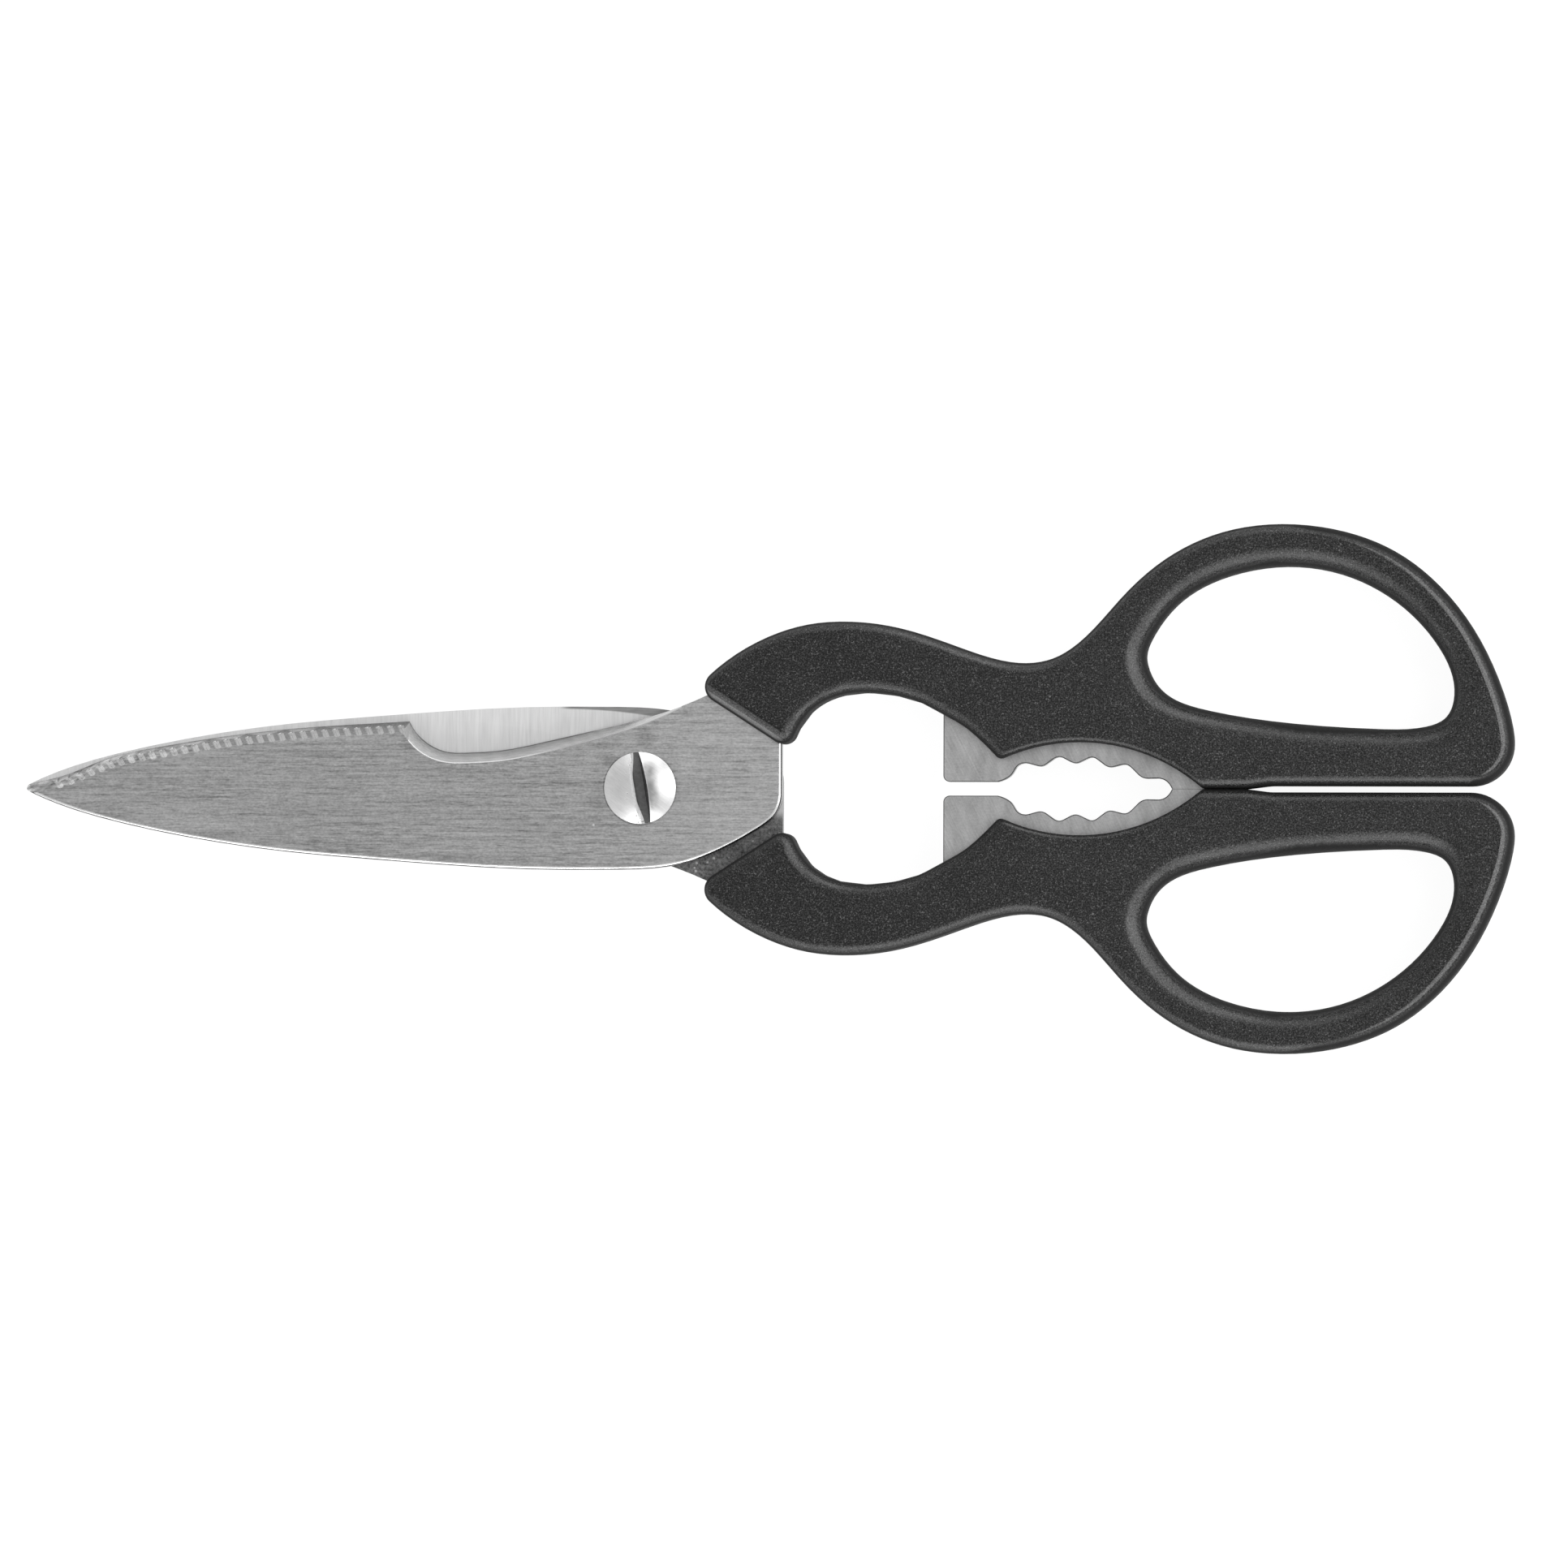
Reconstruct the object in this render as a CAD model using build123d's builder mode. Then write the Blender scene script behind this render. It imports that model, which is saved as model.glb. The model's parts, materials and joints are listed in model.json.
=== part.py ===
from build123d import *
from math import cos, hypot, radians, sin, sqrt
import os

# Kitchen shears with a bone notch, a bottle opener and a nutcracker between the handles.
# Millimetres. +X runs from the tips to the finger loops, +Y to the front half's handle,
# +Z to the side that the front blade and the screw head face. The origin lies under the
# middle of the closed shears, on the flat that they rest on.

# Whole shears
BLADE_REACH = 87.1          # pivot centre to the tips
HANDLE_THICKNESS = 10.6     # over the plastic, along Z
BLADE_PLAY = 0.04           # between the inner faces of the two blades
CUT_OVERRUN = 1.0           # how far a cut runs past the faces that it opens
ON_FACE = 0.01              # an edge this near to a face lies on it

# Steel blades
BLADE_THICKNESS = 3.0
EDGE_HEIGHT = 9.4           # closing line to the cutting edge, beside the notch
SPINE_DEPTH = 11.5          # closing line to the spine, at its deepest
TIP_RADIUS = 0.5
TIP_ANGLE = 58.0            # degrees between the spine and the cutting edge
SPINE_ROUND = 0.45          # rounded outer corner along the spine and the back
# Along the blade in BLADE_REACH, across it in EDGE_HEIGHT
EDGE_SHARES = [(-0.948, 0.155), (-0.872, 0.425), (-0.79, 0.6), (-0.7, 0.74), (-0.56, 0.893)]
# Along the blade in BLADE_REACH, across it in SPINE_DEPTH
SPINE_SHARES = [(-0.048, 1.0), (-0.179, 0.996), (-0.31, 0.948), (-0.442, 0.874), (-0.573, 0.787),
                (-0.704, 0.65), (-0.836, 0.45), (-0.933, 0.242)]

# Ground bevel and its grooves
BEVEL_WIDTH = 1.5           # seen from the front
EDGE_LAND = 0.1             # steel left standing at the cutting edge
BEVEL_RUNOUT = 3.0          # how far the grinding goes past both ends of the edge
WEDGE_SHARE = 0.5           # and past both sides of a bevel, of its width
GROOVE_COUNT = 33
GROOVE_PITCH = 1.55
GROOVE_RADIUS = 0.7
GROOVE_DEPTH = 0.16
GROOVE_FOOT = 0.45          # from the edge to its round end on the bevel
GROOVE_RUN = 4.0            # on from there past the face
GROOVE_SLANT = 12.0         # degrees, lean of the grooves towards the handles
FIRST_GROOVE = 1.2          # from the notch corner

# Bone notch in the front blade
NOTCH_START = 32.87         # pivot centre to the notch corner
NOTCH_LENGTH = 37.3
NOTCH_FLOOR = 5.0           # closing line to the bottom of the notch
NOTCH_END_HEIGHT = 11.05    # closing line to the steel where the notch ends
NOTCH_BEVEL_WIDTH = 1.55
NOTCH_LAND = 0.3
# Along the notch in NOTCH_LENGTH, up from its floor in NOTCH_DEPTH
NOTCH_SHARES = [(0.062, 0.34), (0.14, 0.03), (0.225, 0.0), (0.34, 0.06), (0.495, 0.31), (0.65, 0.61)]
# Where the grinding of its bevel comes in and leaves
NOTCH_ENTRY_SHARE = (-0.05, 1.7)
NOTCH_EXIT_SHARES = [(0.8, 0.98), (1.02, 1.75)]

# Hollow ground inner face
HOLLOW_RADIUS = 150.0
HOLLOW_DEPTH = 0.33
HOLLOW_END = 3.0            # past the pivot centre, where it runs out
HOLLOW_START_SHARE = 0.98   # of BLADE_REACH
HOLLOW_DEEPEST_SHARE = 0.38
HOLLOW_SECTOR = 12.0        # degrees of the wheel that are modelled

# Root of the blade round the pivot
ROOT_BACK_STEP = 0.2        # from the back edge to the open side of the bow
ROOT_BACK_END = 0.9         # closing line to where the back edge gets straight
# Round the root's free corner, along in ROOT_BACK, across in SPINE_DEPTH
ROOT_SHARES = [(0.95, 0.33), (0.83, 0.5), (0.543, 0.77), (0.278, 0.93)]

# Collar where the blade enters the plastic
COLLAR_INNER_STEP = 0.8     # its inner end, on from the open side of the bow
COLLAR_INNER_Y = 6.2
COLLAR_RUN = 12.8           # back to its outer end, before the nose is rounded
COLLAR_RISE = 8.3
COLLAR_TRIM = 0.7           # trimmed off the rounded plastic to leave the collar crisp
NOSE_RADIUS = 2.3
ROOT_INSET = 2.0            # from the collar's outer end to the steel
ROOT_ENTRY_STEP = 0.25      # the steel's corner stands this far out of the plastic
ROOT_TUCK = 3.6             # blade plate held under the collar
ROOT_TUCK_INSET = 1.2       # drawn in by this much there

# Steel arm, jaws and tang, in one plane inside and between the handles
ARM_THICKNESS = 3.0
ARM_WIDTH = 5.0
# Along the bow in BOW_LENGTH, across in BOW_SPREAD
ARM_SHARES = [(-0.2, 0.495), (-0.027, 0.648), (0.196, 0.755), (0.44, 0.789), (0.707, 0.763),
              (0.973, 0.682), (1.2, 0.554)]
TANG_RUN = 18.8             # on from the stop pads
TANG_COVER = 1.9            # plastic on each side of it
TANG_ROUND = 1.5

# Bottle opener bow
BOW_START = 20.1            # pivot centre to the open side of the bow
BOW_LENGTH = 22.5           # on to the face of the steel jaws
BOW_HALF_WIDTH = 13.5       # closing line to the top of the opening
BOW_WALL = 9.95             # plastic round it
# Along the bow in BOW_LENGTH, across it in BOW_HALF_WIDTH
BOW_INNER_SHARES = [(0.98, 0.79), (0.862, 0.894), (0.707, 0.968), (0.53, 1.0), (0.351, 0.965),
                    (0.18, 0.815), (0.085, 0.6), (0.052, 0.485)]
# Along it in BOW_LENGTH, across in BOW_SPREAD
BOW_OUTER_SHARES = [(-0.449, 0.688), (-0.333, 0.778), (-0.093, 0.908), (0.173, 0.985),
                    (0.396, 1.0), (0.707, 0.966), (1.062, 0.861), (1.307, 0.782)]

# Steel jaws
JAW_LENGTH = 7.7            # of the straight edge of the opener
JAW_GAP = 0.97              # closing line to that edge
JAW_LIP_ROUND = 0.9
JAW_EDGE_ROUND = 0.15
JAW_RAMP_LENGTH = 3.87      # from there up to the first hollow of the nutcracker
JAW_RAMP_SHARES = [(0.27, 0.14), (0.51, 0.4), (0.73, 0.87)]
JAW_COVER_STEP = 0.3        # from that edge's end to the plastic's point
JAW_COVER_Y = 4.05
JAW_COVER_SHARES = [(0.38, 0.7), (0.64, 0.44)]
TOOTH_COUNT = 4
TOOTH_PITCH = 4.7
TOOTH_DEPTH = 0.97
NUT_LEAD = 6.73             # first hollow to the widest place between the jaws
NUT_TAIL = 1.8              # last hollow to where the jaws meet
NUT_OPENING = 4.08          # closing line to the middle of the teeth, at the widest place
NUT_COVER_STEP = 0.5        # on from there to the crown of the plastic's edge
NUT_COVER_WALL = 2.47       # steel seen over the middle of the teeth
JAW_TUCK = 3.0              # jaw plate held under the plastic

# Finger loops
WAIST_STEP = 3.7            # from the opener's edge to where the plastic is narrowest
WAIST_WALL = 11.08          # plastic there, over the nutcracker
LOOP_NECK = 17.26           # from there to the finger hole
LOOP_INNER_WALL = 7.99      # plastic round the hole, on its three sides
LOOP_OUTER_WALL = 5.91
BUTT_WALL = 8.44
BUTT_RADIUS = 6.0
# On from the waist to the butt, up from the closing line in LOOP_SPREAD
LOOP_OUTER_SHARES = [(0.06, 0.492), (0.116, 0.557), (0.203, 0.729), (0.29, 0.869), (0.407, 0.97),
                     (0.523, 1.0), (0.64, 0.978), (0.755, 0.9), (0.842, 0.779), (0.915, 0.611),
                     (0.973, 0.389), (0.995, 0.25)]
HOLE_LENGTH = 43.15
HOLE_WIDTH = 22.83
HOLE_SHARES = [(0.0, 0.398), (0.0635, 0.212), (0.203, 0.112), (0.434, 0.042), (0.76, 0.0), (0.9, 0.012),
               (0.974, 0.073), (1.0, 0.2), (0.945, 0.517), (0.851, 0.72), (0.666, 0.932), (0.48, 1.0),
               (0.295, 0.957), (0.11, 0.784), (0.017, 0.56)]
STOP_GAP = 0.02             # closing line to the stop pads of the shut shears
STOP_STEP = 0.45            # the plastic beside the finger holes stands back from them
STOP_COVER = 4.43           # plastic behind the nutcracker, before the pads
STOP_LENGTH = 6.0
STOP_RAMP = 3.5
STOP_BLEND = 8.0            # radius between the pads and the ramps

# Rounded plastic edges
OUTER_ROUND = 1.8
HOLE_ROUND = 3.4
BOW_ROUND = 1.8             # round the opening of the bow
NUT_ROUND = 0.9             # beside the nutcracker

# Pivot screw, its washer and its nut
SHOULDER_DIAMETER = 6.0
SHOULDER_PLAY = 0.05        # radial, in the front blade and the washer
THREAD_DIAMETER = 5.0
HEAD_DIAMETER = 10.1
HEAD_RIM = 0.5
HEAD_DOME = 1.5
SLOT_WIDTH = 2.3            # at the top of the dome
SLOT_FLANK = 19.0           # degrees, slope of its sides
SLOT_DEPTH = 1.6
SLOT_TILT = 9.7             # degrees
WASHER_DIAMETER = 9.4
WASHER_THICKNESS = 0.4
NUT_DIAMETER = 9.0
NUT_EDGE = 0.4
THREAD_SETBACK = 0.3        # of the screw's end inside the nut

# Places worked out from the sizes, along X from the pivot centre
ROOT_BACK = BOW_START - ROOT_BACK_STEP
COLLAR_INNER_X = BOW_START + COLLAR_INNER_STEP
COLLAR_OUTER_X = COLLAR_INNER_X - COLLAR_RUN
JAW_FACE = BOW_START + BOW_LENGTH
JAW_RAMP_START = JAW_FACE + JAW_LENGTH
JAW_COVER_X = JAW_RAMP_START + JAW_COVER_STEP
NUT_START = JAW_RAMP_START + JAW_RAMP_LENGTH
NUT_CENTRE = NUT_START + NUT_LEAD
NUT_COVER_X = NUT_CENTRE + NUT_COVER_STEP
NUT_END = NUT_START + TOOTH_COUNT * TOOTH_PITCH + NUT_TAIL
STOP_START = NUT_END + STOP_COVER
STOP_END = STOP_START + STOP_LENGTH
TANG_END = STOP_END + TANG_RUN
WAIST_X = JAW_RAMP_START + WAIST_STEP
HOLE_START = WAIST_X + LOOP_NECK
HANDLE_REACH = HOLE_START + HOLE_LENGTH + BUTT_WALL

# Across, from the closing line
COLLAR_OUTER_Y = COLLAR_INNER_Y + COLLAR_RISE
BOW_SPREAD = BOW_HALF_WIDTH + BOW_WALL
NUT_COVER_Y = NUT_OPENING + NUT_COVER_WALL
WAIST_Y = NUT_COVER_Y + WAIST_WALL
CLOSING_GAP = STOP_GAP + STOP_STEP
HOLE_FLOOR = CLOSING_GAP + LOOP_INNER_WALL
LOOP_SPREAD = HOLE_FLOOR + HOLE_WIDTH + LOOP_OUTER_WALL
NOTCH_DEPTH = EDGE_HEIGHT - NOTCH_FLOOR

# The two halves' own planes, which mirror each other about the closing line
PIVOT_X = (BLADE_REACH - HANDLE_REACH) / 2
MID_HEIGHT = HANDLE_THICKNESS / 2
FRONT = Plane(origin=(PIVOT_X, 0, MID_HEIGHT), x_dir=(1, 0, 0), z_dir=(0, 0, 1))
REAR = Plane(origin=(PIVOT_X, 0, MID_HEIGHT), x_dir=(1, 0, 0), z_dir=(0, 0, -1))
INNER_FACE = BLADE_PLAY / 2
OUTER_FACE = INNER_FACE + BLADE_THICKNESS


def placed(shares, start_x, length, start_y, width):
    return [(start_x + x * length, start_y + y * width) for x, y in shares]


def collar_point(along, depth):
    # A place along the collar line, moved square to it into the plastic
    run_x = COLLAR_INNER_X - COLLAR_OUTER_X
    run_y = COLLAR_INNER_Y - COLLAR_OUTER_Y
    run = hypot(run_x, run_y)
    x = COLLAR_OUTER_X + (run_x * along - run_y * depth) / run
    y = COLLAR_OUTER_Y + (run_y * along + run_x * depth) / run
    return (x, y)


def nut_middle(x):
    # The bow that the nutcracker's teeth follow
    along = (x - NUT_CENTRE) / (NUT_END - NUT_CENTRE)
    return NUT_OPENING * (1 - along * along)


def nut_wave():
    # Hollows and teeth by turns, from the first hollow to the last
    places = [NUT_START + i * TOOTH_PITCH / 2 for i in range(2 * TOOTH_COUNT + 1)]
    return [(x, nut_middle(x) + (-1) ** i * TOOTH_DEPTH / 2) for i, x in enumerate(places)]


COLLAR_LENGTH = hypot(COLLAR_INNER_X - COLLAR_OUTER_X, COLLAR_INNER_Y - COLLAR_OUTER_Y)
TIP_SLOPE = radians(TIP_ANGLE / 2)
TIP_CORNER = (-BLADE_REACH - TIP_RADIUS * (1 / sin(TIP_SLOPE) - 1), 0)
NOTCH_CORNER = (-NOTCH_START, EDGE_HEIGHT)
NOTCH_END = (NOTCH_LENGTH - NOTCH_START, NOTCH_END_HEIGHT)
ROOT_ENTRY = collar_point(ROOT_INSET, -ROOT_ENTRY_STEP)
FROM_END = (Align.CENTER, Align.CENTER, Align.MIN)


# Lines of the steel
def cutting_edge():
    points = placed(EDGE_SHARES, 0, BLADE_REACH, 0, EDGE_HEIGHT)
    last_run = (Vector(*NOTCH_CORNER) - Vector(*points[-1])).normalized()
    return Spline(TIP_CORNER, *points, NOTCH_CORNER,
                  tangents=[(cos(TIP_SLOPE), sin(TIP_SLOPE)), last_run], tangent_scalars=(1, 1))


def notch_floor():
    return placed(NOTCH_SHARES, -NOTCH_START, NOTCH_LENGTH, NOTCH_FLOOR, NOTCH_DEPTH)


def blade_face(side, notched):
    corner = placed(ROOT_SHARES, 0, ROOT_BACK, 0, -SPINE_DEPTH)
    spine = placed(SPINE_SHARES, 0, BLADE_REACH, 0, -SPINE_DEPTH)
    with BuildSketch(side.offset(INNER_FACE)) as face:
        with BuildLine():
            cutting_edge()
            Spline(NOTCH_CORNER, *(notch_floor() if notched else []), NOTCH_END, ROOT_ENTRY)
            Polyline(ROOT_ENTRY,
                     collar_point(ROOT_INSET + ROOT_TUCK_INSET, ROOT_TUCK),
                     (ROOT_BACK, collar_point(COLLAR_LENGTH - ROOT_TUCK_INSET, ROOT_TUCK)[1]),
                     (ROOT_BACK, -ROOT_BACK_END))
            Spline((ROOT_BACK, -ROOT_BACK_END), *corner, *spine, TIP_CORNER,
                   tangents=[(0, -1), (-cos(TIP_SLOPE), sin(TIP_SLOPE))], tangent_scalars=(1, 1))
        make_face()
        fillet(face.vertices().sort_by_distance(Vertex(*TIP_CORNER))[0], TIP_RADIUS)
    return face.sketch


def arm_face(side):
    with BuildSketch(side.offset(-ARM_THICKNESS / 2)) as face:
        with BuildLine():
            Spline(*placed(ARM_SHARES, BOW_START, BOW_LENGTH, 0, BOW_SPREAD))
        trace(line_width=ARM_WIDTH)
    return face.sketch


def jaw_face(side):
    tang_low = CLOSING_GAP + TANG_COVER
    tang_high = HOLE_FLOOR - TANG_COVER
    wave = nut_wave()
    ramp = placed(JAW_RAMP_SHARES, JAW_RAMP_START, JAW_RAMP_LENGTH, JAW_GAP, wave[0][1] - JAW_GAP)
    with BuildSketch(side.offset(-ARM_THICKNESS / 2)) as face:
        with BuildLine():
            opener = Line((JAW_FACE, JAW_GAP), (JAW_RAMP_START, JAW_GAP))
            Spline(opener @ 1, *ramp, *wave, (NUT_END, STOP_GAP))
            Polyline((NUT_END, STOP_GAP),
                     (STOP_START + JAW_TUCK / 2, STOP_GAP),
                     (STOP_START + JAW_TUCK / 2, tang_low),
                     (TANG_END, tang_low),
                     (TANG_END, tang_high),
                     (STOP_END, tang_high),
                     (NUT_COVER_X, NUT_COVER_Y + JAW_TUCK),
                     (JAW_RAMP_START, BOW_HALF_WIDTH - JAW_TUCK / 2),
                     (JAW_FACE, BOW_HALF_WIDTH),
                     (JAW_FACE, JAW_GAP))
        make_face()
        fillet(face.vertices().sort_by(Axis.X)[-2:], TANG_ROUND)
        fillet(face.vertices().sort_by_distance(Vertex(JAW_FACE, JAW_GAP))[0], JAW_LIP_ROUND)
    return face.sketch


def jaw_edges(blade, side):
    # Along the opener's face, its straight edge and the teeth
    def at_jaw(edge):
        place = side.to_local_coords(edge.center())
        on_plate = abs(abs(place.Z) - ARM_THICKNESS / 2) < ON_FACE
        before_meeting = place.X < NUT_END - TOOTH_DEPTH and place.Y < BOW_HALF_WIDTH - JAW_TUCK / 2
        return on_plate and place.X > JAW_FACE - ON_FACE and before_meeting and on_rim(place)
    return blade.edges().filter_by(at_jaw)


def on_rim(place):
    return place.X < JAW_RAMP_START or place.Y < NUT_COVER_Y


# Grinding of the steel
def spine_edges(blade, side):
    # The outer corner from the tip along the spine and up the back to the collar
    def at_spine(edge):
        place = side.to_local_coords(edge.center())
        return abs(place.Z - OUTER_FACE) < ON_FACE and on_spine(place)
    return blade.edges().filter_by(at_spine)


def on_spine(place):
    return place.Y < -TIP_RADIUS or place.X > ROOT_BACK - SPINE_ROUND


def cutting_path(side):
    with BuildLine() as path:
        edge = cutting_edge()
        Line(edge @ 0, edge @ 0 - (edge % 0) * BEVEL_RUNOUT)
        Line(edge @ 1, edge @ 1 + (edge % 1) * BEVEL_RUNOUT)
    return side.location * path.wire()


def notch_path(side):
    entry = placed([NOTCH_ENTRY_SHARE], -NOTCH_START, NOTCH_LENGTH, NOTCH_FLOOR, NOTCH_DEPTH)
    leaving = placed(NOTCH_EXIT_SHARES, -NOTCH_START, NOTCH_LENGTH, NOTCH_FLOOR, NOTCH_DEPTH)
    with BuildLine() as path:
        Spline(*entry, NOTCH_CORNER, *notch_floor(), *leaving)
    return side.location * path.wire()


def grind(side, path, width, land):
    # A wedge run along the edge takes the bevel off the outer face
    height = BLADE_THICKNESS - land
    lift = side.z_dir * (INNER_FACE + land)
    start = path @ 0
    along = path % 0
    wedge_plane = Plane(origin=start + lift, x_dir=side.z_dir.cross(along), z_dir=along)
    foot = (width * WEDGE_SHARE, -height * WEDGE_SHARE)
    head = (-width * (1 + WEDGE_SHARE), height * (1 + WEDGE_SHARE))
    with BuildSketch(wedge_plane) as wedge:
        Polygon(foot, head, (foot[0], head[1]), align=None)
    sweep(wedge.sketch, path=path.translate(lift), mode=Mode.SUBTRACT)


def groove_places(side):
    # The round end of each groove. From there the groove runs up the bevel and off the face
    edge = side.location * cutting_edge()
    half_width = sqrt(GROOVE_DEPTH * (2 * GROOVE_RADIUS - GROOVE_DEPTH))
    places = []
    for i in range(GROOVE_COUNT):
        at = edge.length - FIRST_GROOVE - i * GROOVE_PITCH
        along = edge.tangent_at(at, PositionMode.LENGTH)
        inward = along.cross(side.z_dir)
        slope = inward * BEVEL_WIDTH + side.z_dir * (BLADE_THICKNESS - EDGE_LAND)
        up = slope.normalized()
        clear = up.cross(along)
        foot = edge.position_at(at, PositionMode.LENGTH) + side.z_dir * (INNER_FACE + EDGE_LAND)
        end = foot + slope * (GROOVE_FOOT / BEVEL_WIDTH) + up * half_width
        middle = end + clear * (GROOVE_RADIUS - GROOVE_DEPTH)
        run = up.rotate(Axis((0, 0, 0), clear), GROOVE_SLANT)
        places.append(Plane(origin=middle, x_dir=clear, z_dir=run))
    return places


def hollow_face(side):
    # The shallow dish along the blade, which one wheel leaves on the inner face
    start = -BLADE_REACH * HOLLOW_START_SHARE
    deepest = -BLADE_REACH * HOLLOW_DEEPEST_SHARE
    lengthwise = Plane(origin=side.origin, x_dir=side.x_dir, z_dir=-side.y_dir)
    with BuildSketch(lengthwise) as face:
        with BuildLine():
            Spline((start, INNER_FACE), (deepest, INNER_FACE + HOLLOW_DEPTH), (HOLLOW_END, INNER_FACE))
            Polyline((HOLLOW_END, INNER_FACE),
                     (HOLLOW_END, -CUT_OVERRUN),
                     (start, -CUT_OVERRUN),
                     (start, INNER_FACE))
        make_face()
    return face.sketch


def hollow_axis(side):
    return Axis(side.origin - side.z_dir * HOLLOW_RADIUS, side.x_dir)


# Lines of the plastic
def handle_face(side):
    bow_outer = placed(BOW_OUTER_SHARES, BOW_START, BOW_LENGTH, 0, BOW_SPREAD)
    bow_inner = placed(BOW_INNER_SHARES, BOW_START, BOW_LENGTH, 0, BOW_HALF_WIDTH)
    loop_outer = placed(LOOP_OUTER_SHARES, WAIST_X, HANDLE_REACH - WAIST_X, 0, LOOP_SPREAD)
    cover_length = JAW_COVER_X - JAW_FACE
    cover_height = bow_inner[0][1] - JAW_COVER_Y
    jaw_cover = placed(JAW_COVER_SHARES, JAW_FACE, cover_length, JAW_COVER_Y, cover_height)
    collar_outer = collar_point(0, -COLLAR_TRIM)
    collar_inner = collar_point(COLLAR_LENGTH, -COLLAR_TRIM)
    first_run = (Vector(*bow_outer[0]) - Vector(*collar_outer)).normalized()
    ramp_start = (STOP_END + STOP_RAMP, CLOSING_GAP)
    ramp_end = (STOP_END, STOP_GAP)
    butt_top = (HANDLE_REACH, CLOSING_GAP + BUTT_RADIUS)
    butt_end = (HANDLE_REACH - BUTT_RADIUS, CLOSING_GAP)
    with BuildSketch(side.offset(-HANDLE_THICKNESS / 2)) as face:
        with BuildLine():
            Spline(collar_outer, *bow_outer, (WAIST_X, WAIST_Y), *loop_outer, butt_top,
                   tangents=[first_run, (0, -1)], tangent_scalars=(1, 1))
            TangentArc(butt_top, butt_end, tangent=(0, -1))
            Polyline(butt_end, ramp_start, ramp_end, (STOP_START, STOP_GAP))
            ThreePointArc((STOP_START, STOP_GAP), (NUT_COVER_X, NUT_COVER_Y), (JAW_COVER_X, JAW_COVER_Y))
            Spline((JAW_COVER_X, JAW_COVER_Y), *reversed(jaw_cover), *bow_inner, collar_inner)
            Line(collar_inner, collar_outer)
        make_face()
        fillet(face.vertices().sort_by_distance(Vertex(*collar_outer))[0], NOSE_RADIUS)
        fillet(face.vertices().sort_by_distance(Vertex(*ramp_start))[0], STOP_BLEND)
        fillet(face.vertices().sort_by_distance(Vertex(*ramp_end))[0], STOP_BLEND)
        with BuildLine():
            Spline(*placed(HOLE_SHARES, HOLE_START, HOLE_LENGTH, HOLE_FLOOR, HOLE_WIDTH), periodic=True)
        make_face(mode=Mode.SUBTRACT)
    return face.sketch


def collar_plane(side):
    start = side.from_local_coords(Vector(*collar_point(0, 0)))
    end = side.from_local_coords(Vector(*collar_point(COLLAR_LENGTH, 0)))
    return Plane(origin=start, x_dir=end - start, z_dir=side.z_dir.cross(end - start))


# Which part of the plastic's outline an edge belongs to, by its middle
def in_finger_hole(place):
    inset = OUTER_ROUND
    return (HOLE_START + inset < place.X < HOLE_START + HOLE_LENGTH
            and HOLE_FLOOR - inset < place.Y < HOLE_FLOOR + HOLE_WIDTH)


def in_bow(place):
    return JAW_FACE > place.X > BOW_START and place.Y < BOW_SPREAD - OUTER_ROUND


def beside_teeth(place):
    return STOP_START > place.X > JAW_FACE and place.Y < WAIST_Y - OUTER_ROUND


def on_outside(place):
    return not (in_finger_hole(place) or in_bow(place) or beside_teeth(place))


def rim_edges(handle, side, chosen):
    # Edges of the moulding's two flat sides
    def at_rim(edge):
        place = side.to_local_coords(edge.center())
        return abs(abs(place.Z) - HANDLE_THICKNESS / 2) < ON_FACE and chosen(place)
    return handle.edges().filter_by(at_rim)


os.makedirs("parts", exist_ok=True)

for name, side in {"front": FRONT, "rear": REAR}.items():
    hole_diameter = SHOULDER_DIAMETER + 2 * SHOULDER_PLAY if name == "front" else THREAD_DIAMETER
    with BuildPart() as blade:
        extrude(blade_face(side, name == "front"), amount=BLADE_THICKNESS)
        fillet(spine_edges(blade, side), SPINE_ROUND)
        grind(side, cutting_path(side), BEVEL_WIDTH, EDGE_LAND)
        if name == "front":
            with Locations(*groove_places(side)):
                Cylinder(GROOVE_RADIUS, GROOVE_RUN, align=FROM_END, mode=Mode.SUBTRACT)
                Sphere(GROOVE_RADIUS, mode=Mode.SUBTRACT)
            grind(side, notch_path(side), NOTCH_BEVEL_WIDTH, NOTCH_LAND)
        revolve(hollow_face(side), hollow_axis(side), HOLLOW_SECTOR, mode=Mode.SUBTRACT)
        extrude(arm_face(side), amount=ARM_THICKNESS)
        extrude(jaw_face(side), amount=ARM_THICKNESS)
        fillet(jaw_edges(blade, side), JAW_EDGE_ROUND)
        with Locations(side):
            Hole(hole_diameter / 2)
    blade.part.label = f"{name}_blade"
    export_step(blade.part, f"parts/{blade.part.label}.step")

    with BuildPart() as handle:
        extrude(handle_face(side), amount=HANDLE_THICKNESS)
        fillet(rim_edges(handle, side, in_finger_hole), HOLE_ROUND)
        fillet(rim_edges(handle, side, on_outside), OUTER_ROUND)
        fillet(rim_edges(handle, side, in_bow), BOW_ROUND)
        fillet(rim_edges(handle, side, beside_teeth), NUT_ROUND)
        split(bisect_by=collar_plane(side))
        add(blade.part, mode=Mode.SUBTRACT)
    handle.part.label = f"{name}_handle"
    export_step(handle.part, f"parts/{handle.part.label}.step")


# Pivot hardware, turned about the pivot axis
AXIS = Axis(FRONT.origin, FRONT.z_dir)
LENGTHWISE = Plane(origin=FRONT.origin, x_dir=FRONT.x_dir, z_dir=-FRONT.y_dir)
HEAD_FACE = OUTER_FACE + WASHER_THICKNESS
NUT_FACE = -MID_HEIGHT

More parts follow.
